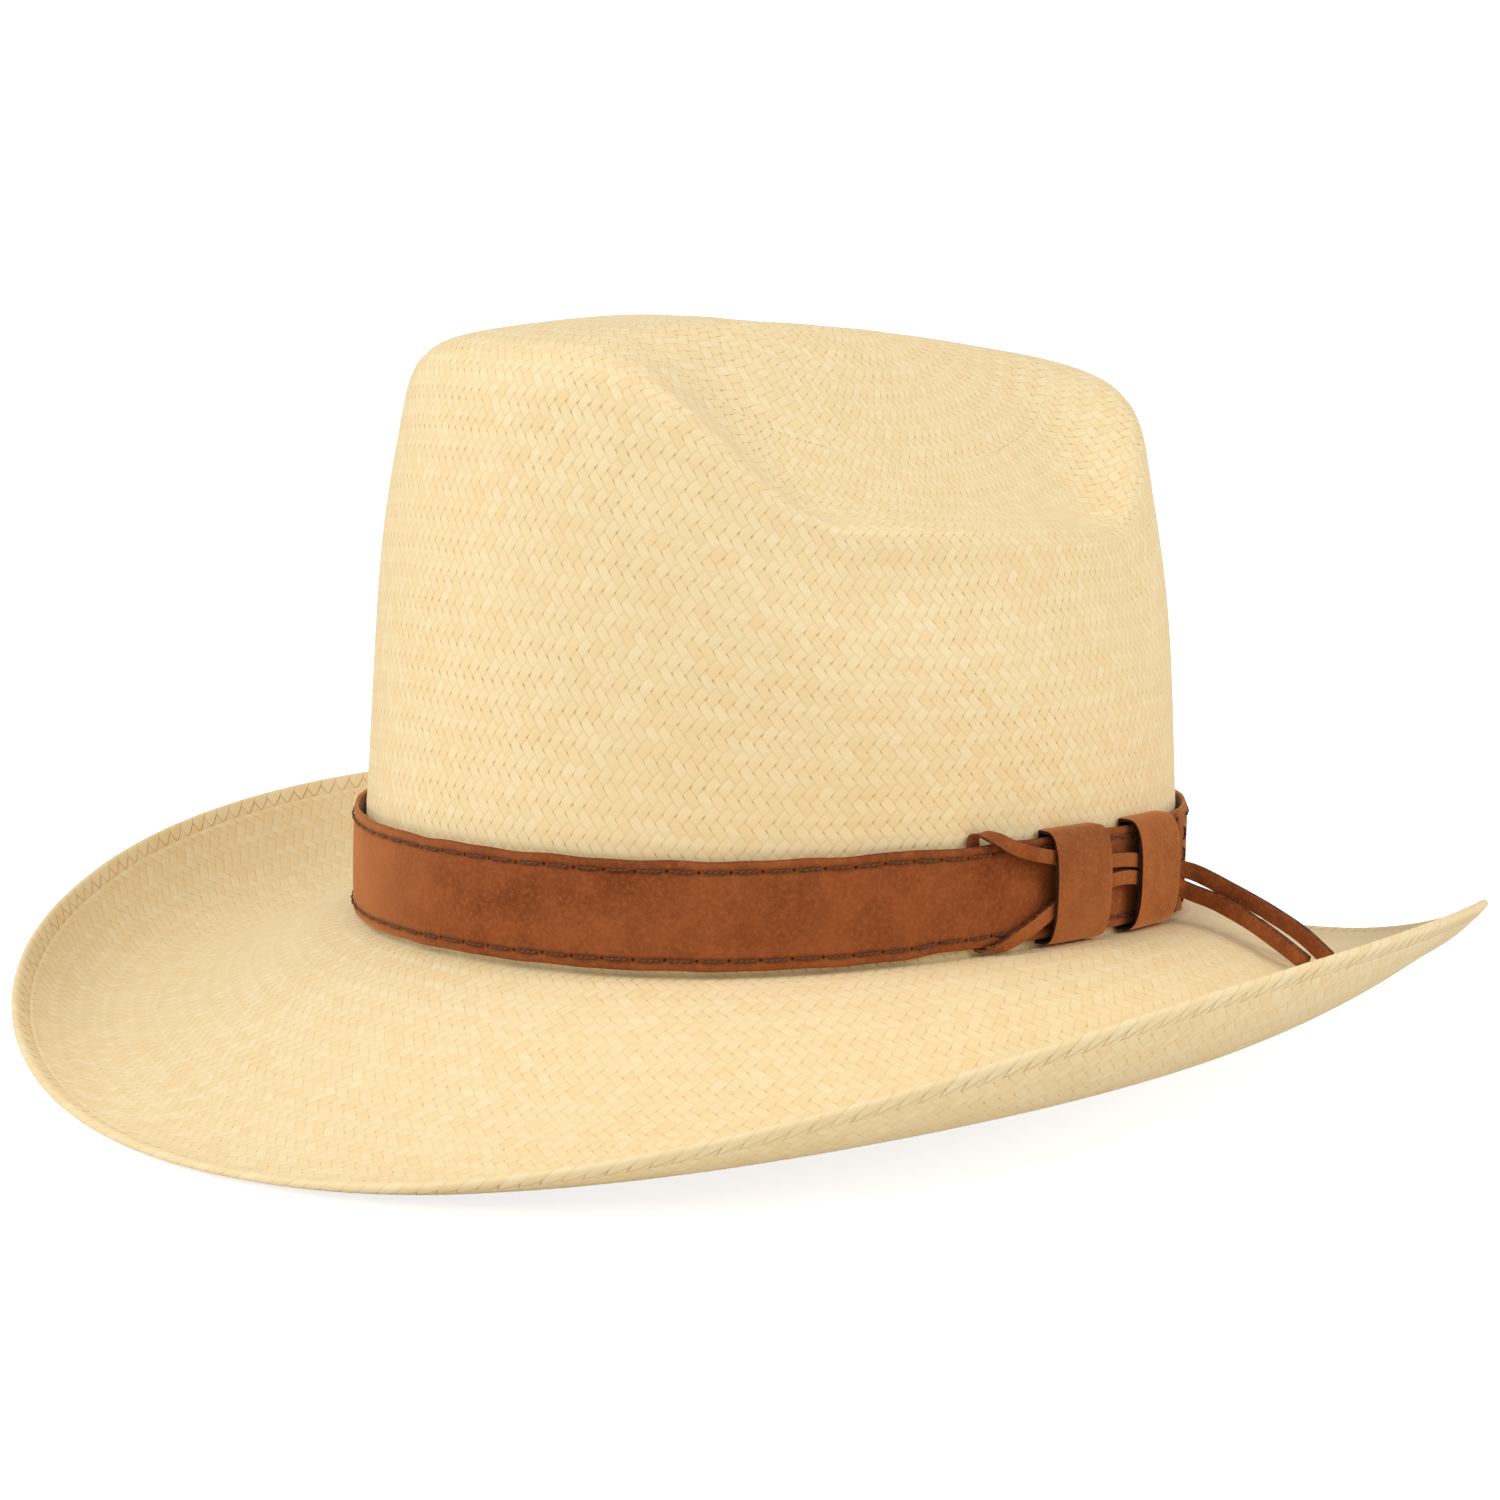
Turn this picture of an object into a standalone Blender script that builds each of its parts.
"""Woven straw hat with a pinched crown, a rolled brim and a suede band held by a lace.

+Z is up, -Y is towards the wearer's front and +X towards the wearer's left. Lengths are in
centimetres, measured from the middle of the head oval at the height where crown meets brim.
Making a mesh scales them to metres and moves them by PLACE, so that the finished hat's origin
is at the bottom of its bounding box, in the middle.

Places on the hat are given by an angle (0 = front, 90 degrees = wearer's left), a distance
outside the head oval and a height over the base line, the wavy line where the crown starts.
"""
import math

import bpy
import numpy as np

CM = 0.01
PLACE = (-0.0004, -0.1504, 4.182)
N_AROUND = 72                     # sections round the hat
SHARP_ANGLE = math.radians(40)

# --- head oval and base line ---
OVAL_A = 10.60                    # half length, front to back
OVAL_B = OVAL_A / 1.195           # half width
BASE_LINE = (0.10, 0.0, -0.14, 0.0, 0.06)   # harmonics of the height; dips at front and back

# --- crown; v runs along it, 1 at the front and -1 at the back ---
V_LENGTH = 9.2                    # distance from v = 0 to v = 1
LEAN_FRONT, LEAN_LEFT = 0.030, 0.010        # sideways shift per height
WALL_START = 2.4                  # taper and lean begin at this height
TAPER_SPAN = 11.0
TAPER_1, TAPER_4 = 0.055, 0.026   # linear and fourth-power taper over TAPER_SPAN
H_FRONT, H_MID, H_BACK = 13.77, 14.09, 12.65    # ridge heights
DOME = 0.015                      # sideways fall of the top, times x squared
DENT = 3.56                       # depth of the two side dents below the ridge
DENT_X = (1.42, 6.39)             # a dent deepens between these distances from the ridge
DENT_FRONT_V = (1.115, 0.539)     # fade-in from the front
DENT_BACK_V = (-1.116, -0.515)    # fade-in from the back
TROUGH = 0.5                      # shallow trough along the ridge, mostly its rear half
TROUGH_WIDTH = 1.3
TROUGH_FRONT_V = (0.45, -0.15)
TROUGH_BACK_V = (-0.9, -0.5)
PINCH = 0.8                       # how far the wall is drawn in below each dent
PINCH_DROP, PINCH_SPREAD = 0.5, 2.2         # its middle below the rim, and its height
PINCH_START = (2.6, 4.6)          # heights over which the pinch fades in

# --- rounding of the outer profile, as smoothing lengths ---
ROUND_BASE = 0.07                 # where brim meets crown
ROUND_NOSE, ROUND_DENT = 0.73, 0.25         # crown shoulder away from and along the dents
ROUND_START = (3.5, 6.5)          # lengths up the wall over which the shoulder's value takes over
SMOOTH_REACH = 60                 # samples averaged on each side
RIM_STEPS = 14                    # iterations that settle the rim height

# --- brim; the tuples of four to six numbers are harmonics of the angle ---
BRIM_WIDTH = (8.128, 0.118, -0.129, -0.293)
BRIM_EDGE_Z = (-0.951, -1.155, -2.048, 0.309, -0.243, 0.088)
ROLL = (1.123, 0.610, -0.753)     # sag below the straight line from crown to edge
ROLL_POWER = 1.96
BRIM_DROP = 0.24                  # the brim leaves the crown this far below the base line
ROLL_BACK = 0.85                  # extra sag behind
ROLL_BACK_COS = (-0.35, -0.85)    # cosines of the angle over which it fades in
FRONT_LIFT = 0.16                 # edge lift at the front, a little to the wearer's right
FRONT_LIFT_TURN = 0.35
FRONT_LIFT_COS = (0.75, 1.0)
LEFT_RISE = 0.25                  # the left edge rises ahead of and beside the ear,
LEFT_ROLL = 0.25                  # sags more there inside the edge,
LEFT_FALL = 0.17                  # and falls behind
BACK_TRIM = 0.30                  # the brim is narrower at both rear sides
LEFT_RISE_COS = (0.25, 0.42)      # middle and spread, in cosines of the angle
LEFT_FALL_COS = (-0.62, 0.25)
BACK_TRIM_COS = (-0.66, 0.24)

# --- straw shell ---
STRAW = 0.18                      # thickness of the woven straw
EDGE_ROUND = 0.07                 # bulge of the brim edge
BRIM_SAMPLES, CROWN_SAMPLES = 80, 240
# Rings the shell keeps: brim fractions, lengths up the wall, fractions of the wall above
# those, and fractions from the rim to the middle of the top.
BRIM_RINGS = np.array([0, 0.03, 0.12, 0.26, 0.42, 0.58, 0.74, 0.88, 0.965, 1.0])
LOW_WALL_RINGS = np.array([0.12, 0.6, 1.5, 2.6])
HIGH_WALL_RINGS = np.array([0.2, 0.45, 0.7, 0.86, 0.95])
TOP_RINGS = np.array([0.0, 0.05, 0.12, 0.22, 0.36, 0.52, 0.70, 0.87, 1.0])

# --- sweatband, as distances outside the oval and heights ---
SWEAT_IN, SWEAT_OUT = -0.42, -0.30
SWEAT_BOTTOM = -0.50              # level, so not measured from the base line
SWEAT_BEND, SWEAT_TOP = 0.4, 2.75
SWEAT_LEAN = 0.06                 # inward lean above the bend
BOW_DEGREES = 6.2                 # angle of one unit of the bow's half length
BOW_HEIGHT = 0.75
BOW_BACK = -0.59

# --- hatband and keepers ---
BAND_H = 2.42
FACE = (0.19, 0.30)               # inner and outer distances of the suede face
LINING = (0.14, 0.165)
LINING_INSET = 0.06
THREAD_R = 0.028
THREAD_GAP = 0.03
STITCH_IN = 0.24                  # stitch rows, in from each edge
END_STITCH = (121.3, 0.56)        # angle and distance of the upright stitch at the band's end
KEEPER_FRONT = (87.0, 97.2)       # start and end angles
KEEPER_REAR = (103.9, 115.6)
KEEPER_OUTSIDE = (0.045, 0.73, -0.15, BAND_H + 0.09)    # distances, then heights
KEEPER_OPENING = (0.10, 0.61, -0.06, BAND_H)
KEEPER_CHAMFER = 0.10

# --- lace ---
LACE_HALF_W, LACE_HALF_T = 0.17, 0.08
TAIL_ANGLE, TAIL_DISTANCE = 116.3, 0.50     # where both tails start
TAIL_CLEARANCE = 0.27             # least height of a tail's middle over the brim

# Loop round the band, whose two strands run back through both keepers:
# angle, distance, height, turn of the flat side in degrees, half thickness.
LOOP = [
    (115.8, 0.5, 1.19, 0, 0.08), (112, 0.5, 1.31, 0, 0.08), (108, 0.5, 1.44, 0, 0.08),
    (104, 0.5, 1.56, 0, 0.08), (101, 0.5, 1.62, 0, 0.08), (97, 0.5, 1.66, 0, 0.08),
    (93.5, 0.5, 1.72, 0, 0.08), (90, 0.5, 1.82, 0, 0.08), (87, 0.5, 1.93, 0, 0.08),
    (84, 0.5, 2.06, 0, 0.08), (81, 0.49, 2.24, 4, 0.075), (78.8, 0.45, 2.45, 22, 0.06),
    (77.2, 0.33, 2.58, 60, 0.045), (76.5, 0.19, 2.6, 100, 0.035), (76.2, 0.09, 2.5, 150, 0.025),
    (76.3, 0.075, 2.2, 180, 0.02), (76.8, 0.075, 1.2, 180, 0.02), (77.4, 0.075, 0.2, 180, 0.02),
    (77.5, 0.088, -0.02, 210, 0.02), (77.8, 0.19, -0.095, 262, 0.02),
    (78.5, 0.33, -0.075, 300, 0.03), (80, 0.45, 0.03, 338, 0.055), (82, 0.49, 0.2, 356, 0.075),
    (84.5, 0.5, 0.42, 360, 0.08), (87, 0.5, 0.66, 360, 0.08), (90, 0.5, 0.86, 360, 0.08),
    (93.5, 0.5, 1.04, 360, 0.08), (97, 0.5, 1.16, 360, 0.08), (101, 0.5, 1.2, 360, 0.08),
    (104, 0.5, 1.15, 360, 0.08), (108, 0.5, 1.03, 360, 0.08), (112, 0.5, 0.9, 360, 0.08),
    (115.8, 0.5, 0.78, 360, 0.08),
]
# Tails, from their start: rearwards along the crown, outwards, height change.
UPPER_TAIL = [
    (0.32, 0.12, -0.07), (0.50, 0.50, -0.20), (0.45, 1.2, -0.47),
    (0.10, 2.3, -0.86), (-0.35, 3.3, -1.26), (-0.60, 4.08, -1.78),
]
LOWER_TAIL = [
    (0.30, 0.12, -0.11), (0.35, 0.40, -0.22), (0.15, 1.1, -0.38),
    (-0.35, 2.1, -0.69), (-0.90, 3.0, -1.04), (-1.42, 3.78, -1.40),
]

# name: (colour, roughness)
MATERIALS = {
    "straw": ((0.93, 0.80, 0.55), 0.55),
    "suede": ((0.36, 0.11, 0.035), 0.95),
    "suede_light": ((0.46, 0.16, 0.05), 0.95),
    "lace_suede": ((0.38, 0.12, 0.04), 0.9),
    "thread_brown": ((0.12, 0.05, 0.02), 0.8),
    "band_lining": ((0.28, 0.12, 0.05), 0.9),
    "sweatband_leather": ((0.30, 0.17, 0.09), 0.6),
    "tape": ((0.75, 0.66, 0.5), 0.9),
    "ribbon": ((0.20, 0.10, 0.05), 0.7),
    "label_cloth": ((0.85, 0.82, 0.75), 0.85),
}


# --- shaping functions ---
def ramp(value, start, end):
    """Smooth step from 0 at start to 1 at end; end may lie below start."""
    x = np.clip((value - start) / (end - start), 0.0, 1.0)
    return x * x * (3.0 - 2.0 * x)


def bump(value, middle, spread):
    return np.exp(-(((value - middle) / spread) ** 2))


def harmonics(weights, angle):
    return sum(weight * np.cos(k * angle) for k, weight in enumerate(weights))


def unit(vectors):
    return vectors / np.linalg.norm(vectors, axis=-1, keepdims=True)


# --- hat surfaces; angles in radians except in at() ---
def oval(angle):
    """Point on the head oval and its outward direction."""
    x, y = OVAL_B * np.sin(angle), -OVAL_A * np.cos(angle)
    out_x, out_y = OVAL_A * np.sin(angle), -OVAL_B * np.cos(angle)
    length = np.hypot(out_x, out_y)
    return x, y, out_x / length, out_y / length


def base_z(angle):
    return harmonics(BASE_LINE, angle)


def at(degrees, distance, height):
    """Point at an angle, a distance outside the oval and a height over the base line."""
    angle = np.radians(degrees)
    x, y, out_x, out_y = oval(angle)
    return np.stack([x + out_x * distance, y + out_y * distance, base_z(angle) + height], -1)


def dent_mask(y):
    """1 along the side dents, 0 at the front and back of the crown."""
    v = -y / V_LENGTH
    return ramp(v, *DENT_FRONT_V) * ramp(v, *DENT_BACK_V)


def top_height(x, y):
    v = -y / V_LENGTH
    ridge = H_MID + (H_FRONT - H_BACK) / 2 * v + ((H_FRONT + H_BACK) / 2 - H_MID) * v * v
    dent = DENT * dent_mask(y) * ramp(np.abs(x), *DENT_X)
    trough = TROUGH * bump(x, 0, TROUGH_WIDTH) * ramp(v, *TROUGH_FRONT_V)
    trough = trough * ramp(v, *TROUGH_BACK_V)
    return ridge - DOME * x * x - dent - trough


def wall_scale(z):
    """Size of the crown's outline at height z, relative to the head oval."""
    rise = np.clip(z - WALL_START, 0, None) / TAPER_SPAN
    return 1 - TAPER_1 * rise - TAPER_4 * rise**4


def brim_point(angle, q):
    """Upper face of the brim; q = 0 at the crown, 1 at the edge."""
    x, y, out_x, out_y = oval(angle)
    cosine = np.cos(angle)
    left = np.maximum(np.sin(angle), 0.0)
    left_rise = bump(cosine, *LEFT_RISE_COS)
    width = harmonics(BRIM_WIDTH, angle) - BACK_TRIM * bump(cosine, *BACK_TRIM_COS)
    edge_z = harmonics(BRIM_EDGE_Z, angle)
    edge_z = edge_z + FRONT_LIFT * ramp(np.cos(angle + FRONT_LIFT_TURN), *FRONT_LIFT_COS)
    left_fall = LEFT_FALL * bump(cosine, *LEFT_FALL_COS)
    edge_z = edge_z + left * (LEFT_RISE * left_rise - left_fall)
    roll = harmonics(ROLL, angle) + ROLL_BACK * ramp(cosine, *ROLL_BACK_COS)
    roll = roll + LEFT_ROLL * left * left_rise
    power = ROLL_POWER
    peak = (power / (power + 1)) ** power / (power + 1)
    shape = q**power * (1 - q) / peak
    z = base_z(angle) * (1 - q) + edge_z * q - roll * shape - BRIM_DROP * (1 - q) ** 3
    return x + out_x * width * q, y + out_y * width * q, z


def sharp_profile(angle):
    """Unrounded outer profile from brim edge to middle of the top, one row per angle.

    Also gives the crown rim's height and scale, and the length of the wall, for each angle.
    """
    q = np.linspace(1, 0, BRIM_SAMPLES + 1)[None, :-1]
    brim = np.stack(brim_point(angle[:, None], q), -1)
    x0, y0, _, _ = oval(angle)
    rim_z = np.full(len(angle), 12.0)
    for _ in range(RIM_STEPS):
        scale = wall_scale(rim_z)
        rim_z = 0.5 * rim_z + 0.5 * top_height(x0 * scale, y0 * scale)
    rim_scale = wall_scale(rim_z)
    low_z = base_z(angle) - BRIM_DROP
    wall = rim_z - low_z
    top = (rim_scale * np.hypot(x0, y0))[:, None]
    along = np.linspace(0, 1, CROWN_SAMPLES)[None, :] * (wall[:, None] + top)
    on_wall = along <= wall[:, None]
    wall_z = low_z[:, None] + np.minimum(along, wall[:, None])
    top_scale = rim_scale[:, None] * (1 - np.clip((along - wall[:, None]) / top, 0, 1))
    scale = np.where(on_wall, wall_scale(wall_z), top_scale)
    x, y = x0[:, None] * scale, y0[:, None] * scale
    crown = np.stack([x, y, np.where(on_wall, wall_z, top_height(x, y))], -1)
    return np.concatenate([brim, crown], 1), rim_z, rim_scale, wall


def round_profile(points, arc, mask):
    """Averages each row along its length, over a span that varies with the place."""
    shoulder = (ROUND_NOSE * (1 - mask) + ROUND_DENT * mask)[:, None]
    up = ramp(arc - arc[:, BRIM_SAMPLES:BRIM_SAMPLES + 1], *ROUND_START)
    span = ROUND_BASE + (shoulder - ROUND_BASE) * up
    rows, columns = arc.shape
    reach = SMOOTH_REACH
    # rows go on over the top down the opposite side, and are mirrored past the brim edge
    opposite = (np.arange(rows) + rows // 2) % rows
    after = points[opposite][:, -2:-2 - reach:-1]
    before = 2 * points[:, :1] - points[:, reach:0:-1]
    extended = np.concatenate([before, points, after], 1)
    spacing = np.gradient(arc, axis=1)
    total, weights = np.zeros_like(points), np.zeros((rows, columns, 1))
    for k in range(-reach, reach + 1):
        weight = np.exp(-0.5 * (k * spacing / span) ** 2)[..., None]
        total += weight * extended[:, reach + k:reach + k + columns]
        weights += weight
    smooth = total / weights
    smooth[:, -1] = smooth[:, -1].mean(0)
    return smooth


def outer_sheet(count):
    """Rounded outer sheet on `count` angles, its arc lengths and the wall lengths."""
    angle = np.arange(count) * 2 * np.pi / count
    points, rim_z, rim_scale, wall = sharp_profile(angle)
    step = np.linalg.norm(np.diff(points, axis=1), axis=-1)
    arc = np.concatenate([np.zeros((count, 1)), np.cumsum(step, 1)], 1)
    x0, y0, _, _ = oval(angle)
    mask = dent_mask(y0 * rim_scale)
    x, y, z = np.moveaxis(round_profile(points, arc, mask), -1, 0)
    # draw the wall in below each dent
    radius = np.hypot(x, y) + 1e-9
    rim_radius = (np.hypot(x0, y0) * rim_scale)[:, None]
    fade = np.clip(radius / rim_radius, 0, 1) ** 3
    pull = PINCH * mask[:, None] * bump(z, rim_z[:, None] - PINCH_DROP, PINCH_SPREAD)
    pull = pull * fade * ramp(z, *PINCH_START)
    x, y = x * (1 - pull / radius), y * (1 - pull / radius)
    # lean the crown, easing in above the start height
    rise = np.clip(z - WALL_START, 0, None)
    rise = rise * rise / (rise + 1.0)
    return np.stack([x + LEAN_LEFT * rise, y - LEAN_FRONT * rise, z], -1), arc, wall


def sheet_normals(points):
    around = np.roll(points, -1, 0) - np.roll(points, 1, 0)
    normals = np.cross(around, np.gradient(points, axis=1))
    normals /= np.maximum(np.linalg.norm(normals, axis=-1, keepdims=True), 1e-9)
    # the rows meet at the top, so the normals there are set upright
    normals[:, -1] = (0, 0, 1)
    normals[:, -2] = 0.5 * normals[:, -2] + np.array([0, 0, 0.5])
    return unit(normals)


def ring_lengths(arc, wall):
    """Arc lengths of the kept rings; they follow the crown's rim round the dents."""
    base, total = arc[:, BRIM_SAMPLES, None], arc[:, -1:]
    rim = base + wall[:, None]
    low_top = base + LOW_WALL_RINGS[-1]
    return np.concatenate([
        base * BRIM_RINGS,
        base + LOW_WALL_RINGS,
        low_top + (rim - low_top) * HIGH_WALL_RINGS,
        rim + (total - rim) * TOP_RINGS,
    ], 1)


def sample(field, arc, lengths):
    """Values of a 3D field at the given arc lengths, row by row."""
    return np.array([
        np.stack([np.interp(wanted, known, row[:, k]) for k in range(3)], -1)
        for row, known, wanted in zip(field, arc, lengths)
    ])


# --- mesh helpers; a solid is a pair of points and faces ---
def add_material(name, colour, roughness):
    mat = bpy.data.materials.new(name)
    mat.use_nodes = True
    shader = mat.node_tree.nodes["Principled BSDF"]
    shader.inputs["Base Color"].default_value = (*colour, 1)
    shader.inputs["Roughness"].default_value = roughness
    mat.diffuse_color = (*colour, 1)


def face_outwards(mesh):
    """Flips all faces if the solid's signed volume is negative."""
    mesh.calc_loop_triangles()
    volume = 0.0
    for triangle in mesh.loop_triangles:
        a, b, c = (mesh.vertices[i].co for i in triangle.vertices)
        volume += a.dot(b.cross(c))
    if volume < 0:
        mesh.flip_normals()


def make(name, solid, material, origin=(0, 0, 0)):
    points, faces = solid
    origin = np.asarray(origin, float)
    mesh = bpy.data.meshes.new(name)
    mesh.from_pydata(((points - origin) * CM).tolist(), [], faces)
    mesh.materials.append(bpy.data.materials[material])
    mesh.validate()
    ob = bpy.data.objects.new(name, mesh)
    bpy.context.scene.collection.objects.link(ob)
    ob.location = tuple((origin + PLACE) * CM)
    mesh.shade_smooth()
    mesh.set_sharp_from_angle(angle=SHARP_ANGLE)
    face_outwards(mesh)


def sweep(sections, closed=False):
    """Solid through equal cross-section loops: a closed ring, or a strip with flat caps."""
    sections = np.asarray(sections, float)
    count, sides = sections.shape[:2]
    faces = []
    for i in range(count if closed else count - 1):
        here, there = i * sides, (i + 1) % count * sides
        for k in range(sides):
            side = (k + 1) % sides
            faces.append((here + k, there + k, there + side, here + side))
    if not closed:
        faces.append(tuple(range(sides)))
        faces.append(tuple((count - 1) * sides + k for k in reversed(range(sides))))
    return sections.reshape(-1, 3), faces


def ring(section_at):
    """Closed ring round the hat from a function of the angle in degrees."""
    return sweep([section_at(360.0 * k / N_AROUND) for k in range(N_AROUND)], closed=True)


def rectangle(degrees, d_in, d_out, low, high):
    corners = ((d_in, low), (d_out, low), (d_out, high), (d_in, high))
    return [at(degrees, distance, height) for distance, height in corners]


def band_ring(d_in, d_out, low_at, high_at):
    return ring(lambda deg: rectangle(deg, d_in, d_out, low_at(deg), high_at(deg)))


def thread_ring(distance, height_at, radius, sides=4):
    turns = [2 * math.pi * (j + 0.5) / sides for j in range(sides)]
    return ring(lambda deg: [
        at(deg, distance + radius * math.cos(a), height_at(deg) + radius * math.sin(a))
        for a in turns
    ])


def patch(start, end, d_in, d_out, low, high):
    """Curved rectangular plate between two angles."""
    return sweep([rectangle(deg, d_in, d_out, low, high) for deg in np.linspace(start, end, 5)])


def catmull(rows, per_span):
    """Catmull-Rom spline through rows of numbers, `per_span` steps a span."""
    rows = np.asarray(rows, float)
    ext = np.vstack([2 * rows[0] - rows[1], rows, 2 * rows[-1] - rows[-2]])
    out = []
    for a, b, c, d in zip(ext, ext[1:], ext[2:], ext[3:]):
        for step in range(per_span):
            u = step / per_span
            square = (2 * a - 5 * b + 4 * c - d) * u**2
            cube = (3 * b - a - 3 * c + d) * u**3
            out.append(0.5 * (2 * b + (c - a) * u + square + cube))
    out.append(rows[-1])
    return np.array(out)


def lace(centres, normals, half_thickness):
    """Flat lace along a path, its thickness along the given normals."""
    tangents = unit(np.gradient(centres, axis=0))
    normals = unit(normals - (normals * tangents).sum(1, keepdims=True) * tangents)
    wide = np.cross(tangents, normals) * LACE_HALF_W
    thick = normals * np.broadcast_to(half_thickness, len(centres))[:, None]
    return sweep(np.stack([
        centres - wide - thick,
        centres + wide - thick,
        centres + wide + thick,
        centres - wide + thick,
    ], 1))


# --- straw body ---
def brim_edge(outer, inner, normals):
    """Ridge of points that rounds the brim edge."""
    middle = (outer[:, 0] + inner[:, 0]) / 2
    around = np.roll(outer[:, 0], -1, 0) - np.roll(outer[:, 0], 1, 0)
    out = unit(np.cross(normals[:, 0], around))
    inwards = (out * (middle - outer[:, 2])).sum(1) < 0
    out[inwards] *= -1
    return middle + out * EDGE_ROUND


def straw_body():
    """One shell: outer and inner sheets joined at the brim edge."""
    sheet, arc, wall = outer_sheet(N_AROUND * 2)
    lengths = ring_lengths(arc, wall)
    outer = sample(sheet, arc, lengths)[::2]
    normals = unit(sample(sheet_normals(sheet), arc, lengths)[::2])
    inner = outer - normals * STRAW
    apex = outer[:, -1].mean(0)
    points = np.concatenate([
        outer[:, :-1].reshape(-1, 3),
        inner[:, :-1].reshape(-1, 3),
        brim_edge(outer, inner, normals),
        [apex, apex - np.array([0, 0, STRAW])],
    ])
    count, rings = outer.shape[0], outer.shape[1] - 1
    inside = count * rings            # index of the first inner point
    edge = 2 * inside
    top = edge + count
    faces = []
    for i in range(count):
        j = (i + 1) % count
        a, b = i * rings, j * rings
        for k in range(rings - 1):
            quad = (a + k, b + k, b + k + 1, a + k + 1)
            faces.append(quad)
            faces.append(tuple(inside + p for p in reversed(quad)))
        faces.append((a + rings - 1, b + rings - 1, top))
        faces.append((inside + b + rings - 1, inside + a + rings - 1, top + 1))
        faces.append((edge + i, edge + j, b, a))
        faces.append((inside + a, inside + b, edge + j, edge + i))
    make("straw_body", (points, faces), "straw")


# --- sweatband ---
def sweat_section(degrees):
    bottom = SWEAT_BOTTOM - base_z(math.radians(degrees))
    return [
        at(degrees, SWEAT_OUT, bottom),
        at(degrees, SWEAT_OUT, SWEAT_BEND),
        at(degrees, SWEAT_OUT - SWEAT_LEAN, SWEAT_TOP),
        at(degrees, SWEAT_IN - SWEAT_LEAN, SWEAT_TOP),
        at(degrees, SWEAT_IN, SWEAT_BEND),
        at(degrees, SWEAT_IN, bottom),
    ]


def sweatband():
    make("sweatband", ring(sweat_section), "sweatband_leather")
    make("sweatband_tape", band_ring(-0.26, -0.22, lambda deg: -0.16, lambda deg: 0.85), "tape")
    reed = thread_ring(distance=-0.235, height_at=lambda deg: -0.26, radius=0.045, sides=6)
    make("sweatband_reed", reed, "tape")
    seam = thread_ring(distance=SWEAT_IN - 0.06, height_at=lambda deg: 0.12, radius=0.025)
    make("sweatband_seam_thread", seam, "thread_brown")
    tape = patch(start=177.5, end=182.5, d_in=-0.55, d_out=-0.51, low=0.25, high=2.6)
    make("sweatband_back_tape", tape, "ribbon")
    label = patch(start=147.0, end=158.0, d_in=-0.55, d_out=-0.52, low=0.75, high=2.05)
    make("size_label", label, "label_cloth")


def bow():
    """Small ribbon bow at the back of the sweatband."""
    # place along the half length, half height, depth
    half = [(0.12, 0.20, 0.12), (0.22, 0.15, 0.06), (0.75, 0.42, 0.10), (0.95, 0.34, 0.10)]
    stations = [(-s, h, depth) for s, h, depth in reversed(half)] + half
    sections = [
        rectangle(180.0 + s * BOW_DEGREES, BOW_BACK, BOW_BACK - depth, BOW_HEIGHT - h, BOW_HEIGHT + h)
        for s, h, depth in stations
    ]
    make("sweatband_bow", sweep(sections), "ribbon")


# --- hatband ---
def near_keepers(degrees):
    return ramp(degrees, 66.0, 72.0) * ramp(degrees, 124.0, 120.0)


def band_low(degrees):
    return -0.08 + 0.08 * near_keepers(degrees)


def band_high(degrees):
    return BAND_H - 0.06 * near_keepers(degrees)


def hatband():
    lining = band_ring(
        *LINING,
        lambda deg: band_low(deg) + LINING_INSET,
        lambda deg: band_high(deg) - LINING_INSET,
    )
    make("hatband_lining", lining, "band_lining")
    make("hatband_face", band_ring(*FACE, band_low, band_high), "suede")
    for row, height_at in (
        ("upper", lambda deg: band_high(deg) - STITCH_IN),
        ("lower", lambda deg: band_low(deg) + STITCH_IN),
    ):
        thread = thread_ring(FACE[1] + THREAD_GAP + THREAD_R, height_at, THREAD_R)
        make(f"hatband_stitch_{row}", thread, "thread_brown")


def hatband_end():
    """Fold at the band's end and the upright stitch on it."""
    fold = patch(start=118.4, end=122.3, d_in=0.42, d_out=0.50, low=0.02, high=BAND_H - 0.08)
    make("hatband_end_fold", fold, "suede")
    angle, distance = END_STITCH
    half_angle, half_depth = 0.13, 0.025
    corners = ((-1, -1), (1, -1), (1, 1), (-1, 1))
    stitch = sweep([
        [at(angle + a * half_angle, distance + b * half_depth, height) for a, b in corners]
        for height in np.linspace(0.2, 2.15, 6)
    ])
    make("hatband_end_stitch", stitch, "thread_brown")


# --- keepers: sleeves round band and lace ---
def curve_centre(degrees):
    """Centre of curvature of the oval, which a keeper turns about as it slides."""
    angle = math.radians(degrees)
    x, y, out_x, out_y = oval(angle)
    speed_squared = (OVAL_A * math.sin(angle)) ** 2 + (OVAL_B * math.cos(angle)) ** 2
    radius = speed_squared**1.5 / (OVAL_A * OVAL_B)
    return x - out_x * radius, y - out_y * radius, 0.0


def chamfered(degrees, d_in, d_out, low, high, chamfer):
    """Rectangle with its two outer corners cut."""
    return [
        at(degrees, d_in, low),
        at(degrees, d_out - chamfer, low),
        at(degrees, d_out, low + chamfer),
        at(degrees, d_out, high - chamfer),
        at(degrees, d_out - chamfer, high),
        at(degrees, d_in, high),
    ]


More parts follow.
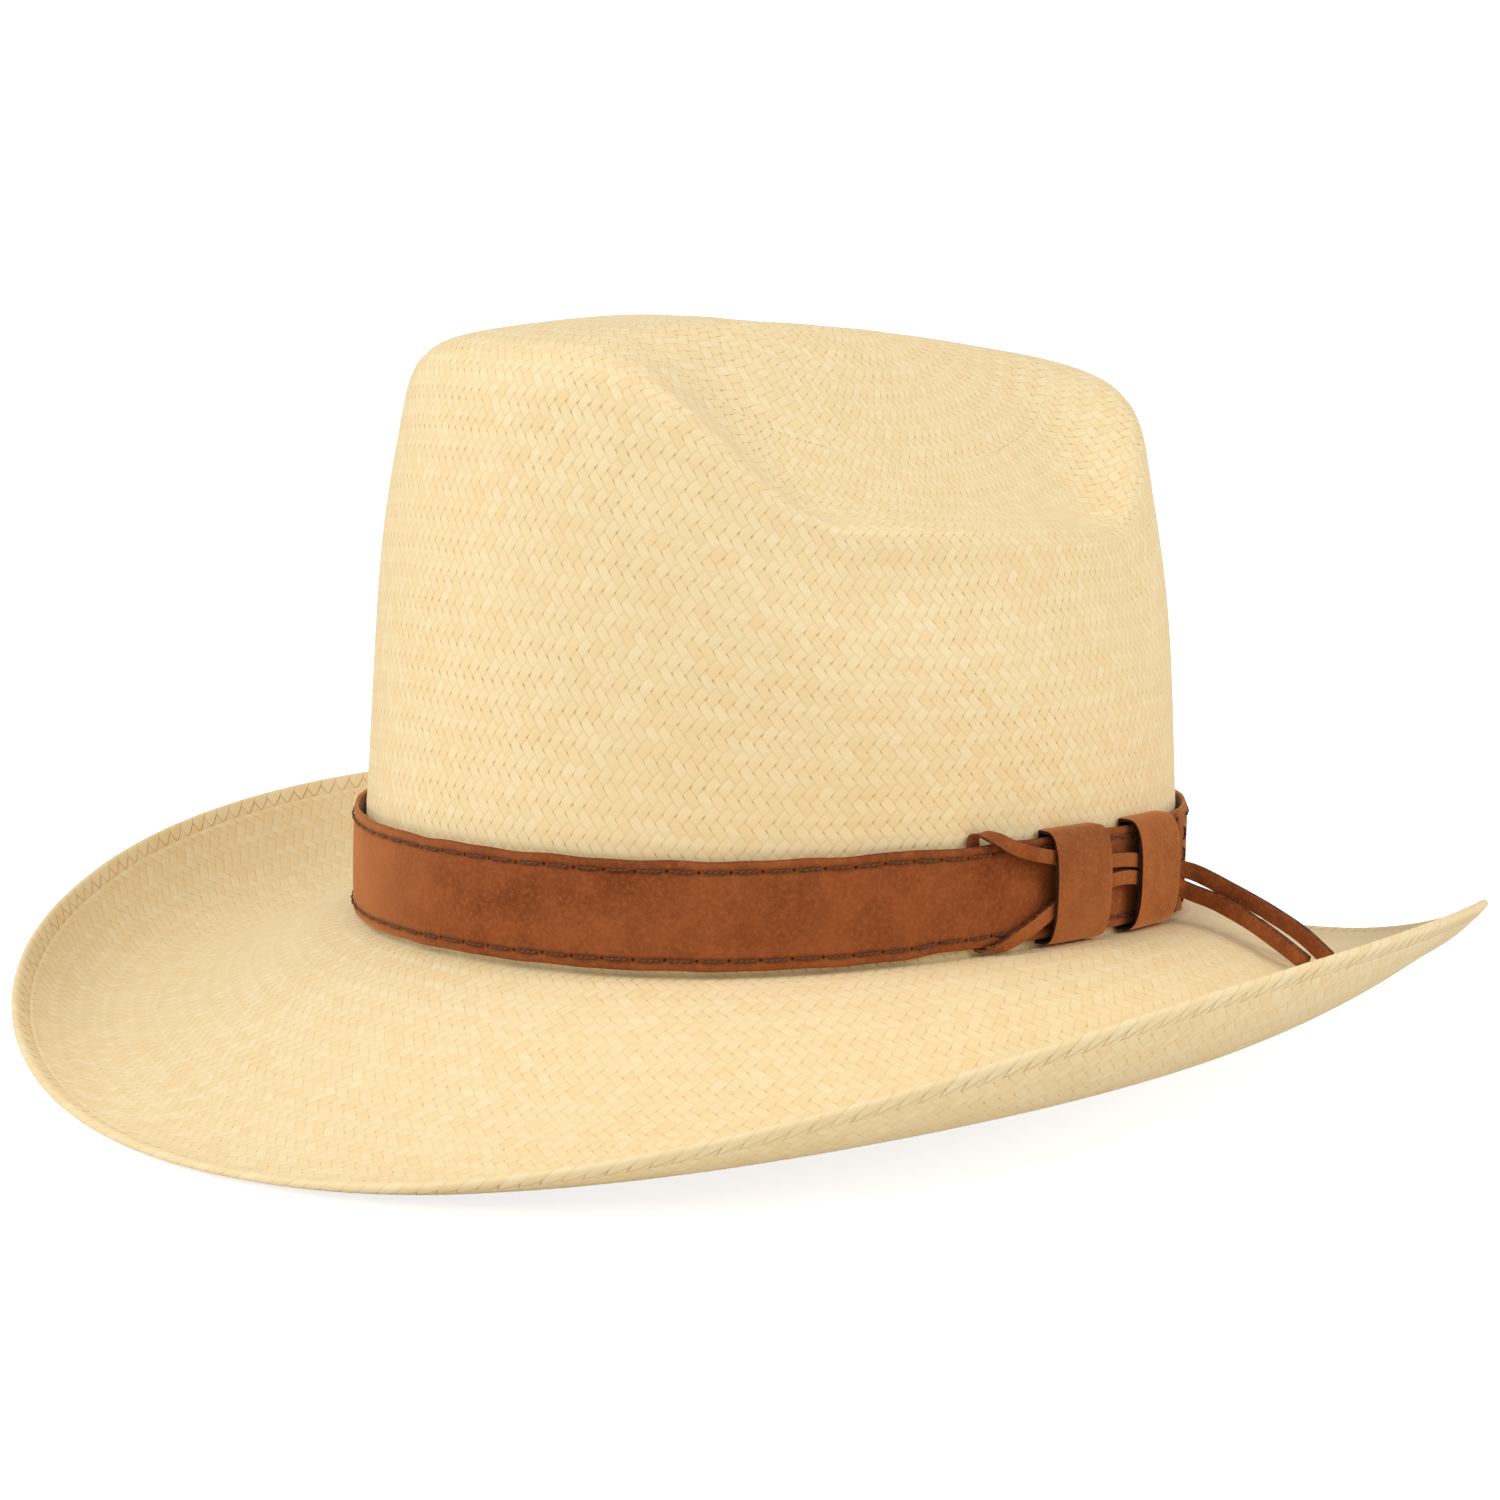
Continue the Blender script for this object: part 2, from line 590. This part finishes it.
def keeper(name, span):
    angles = np.linspace(*span, 7)
    outside = [chamfered(deg, *KEEPER_OUTSIDE, KEEPER_CHAMFER) for deg in angles]
    opening = [chamfered(deg, *KEEPER_OPENING, KEEPER_CHAMFER / 2) for deg in angles]
    # each lengthwise loop runs out along the outside and back through the opening
    loops = np.concatenate([outside, opening[::-1]]).transpose(1, 0, 2)
    middle = 0.5 * (span[0] + span[1])
    make(name, sweep(loops, closed=True), "suede_light", origin=curve_centre(middle))


# --- lace ---
def lace_loop():
    rows = catmull(LOOP, per_span=2)
    degrees, distance, height, turn, half_thickness = rows.T
    _, _, out_x, out_y = oval(np.radians(degrees))
    turn = np.radians(turn)
    normals = np.stack([np.cos(turn) * out_x, np.cos(turn) * out_y, np.sin(turn)], 1)
    make("lace_loop", lace(at(degrees, distance, height), normals, half_thickness), "lace_suede")


def brim_height(x, y):
    """Height of the brim's upper face near a point, from the nearest sample."""
    angles = np.radians(np.linspace(90, 150, 121))[:, None]
    brim_x, brim_y, brim_z = brim_point(angles, np.linspace(0, 1, 81)[None, :])
    nearest = np.argmin((brim_x - x) ** 2 + (brim_y - y) ** 2)
    return brim_z.ravel()[nearest]


def lace_tail(name, start_height, offsets):
    """Tail that leaves the rear keeper and lies out over the brim."""
    start = at(TAIL_ANGLE, TAIL_DISTANCE, start_height)
    _, _, out_x, out_y = oval(math.radians(TAIL_ANGLE))
    outwards = np.array([out_x, out_y, 0.0])
    rearwards = np.array([-out_y, out_x, 0.0])
    points = [start]
    for along, out, rise in offsets:
        point = start + rearwards * along + outwards * out
        point[2] = max(start[2] + rise, brim_height(point[0], point[1]) + TAIL_CLEARANCE)
        points.append(point)
    path = catmull(points, per_span=3)
    tangents = np.gradient(path, axis=0)
    normals = np.stack([tangents[:, 1], -tangents[:, 0], np.zeros(len(path))], 1)
    make(name, lace(path, normals, LACE_HALF_T), "lace_suede", origin=start)


for old in list(bpy.data.objects):
    bpy.data.objects.remove(old)
for material_name, (colour, roughness) in MATERIALS.items():
    add_material(material_name, colour, roughness)

straw_body()
sweatband()
bow()
hatband()
hatband_end()
keeper("keeper_front", KEEPER_FRONT)
keeper("keeper_rear", KEEPER_REAR)
lace_loop()
lace_tail("lace_tail_upper", 1.17, UPPER_TAIL)
lace_tail("lace_tail_lower", 0.76, LOWER_TAIL)
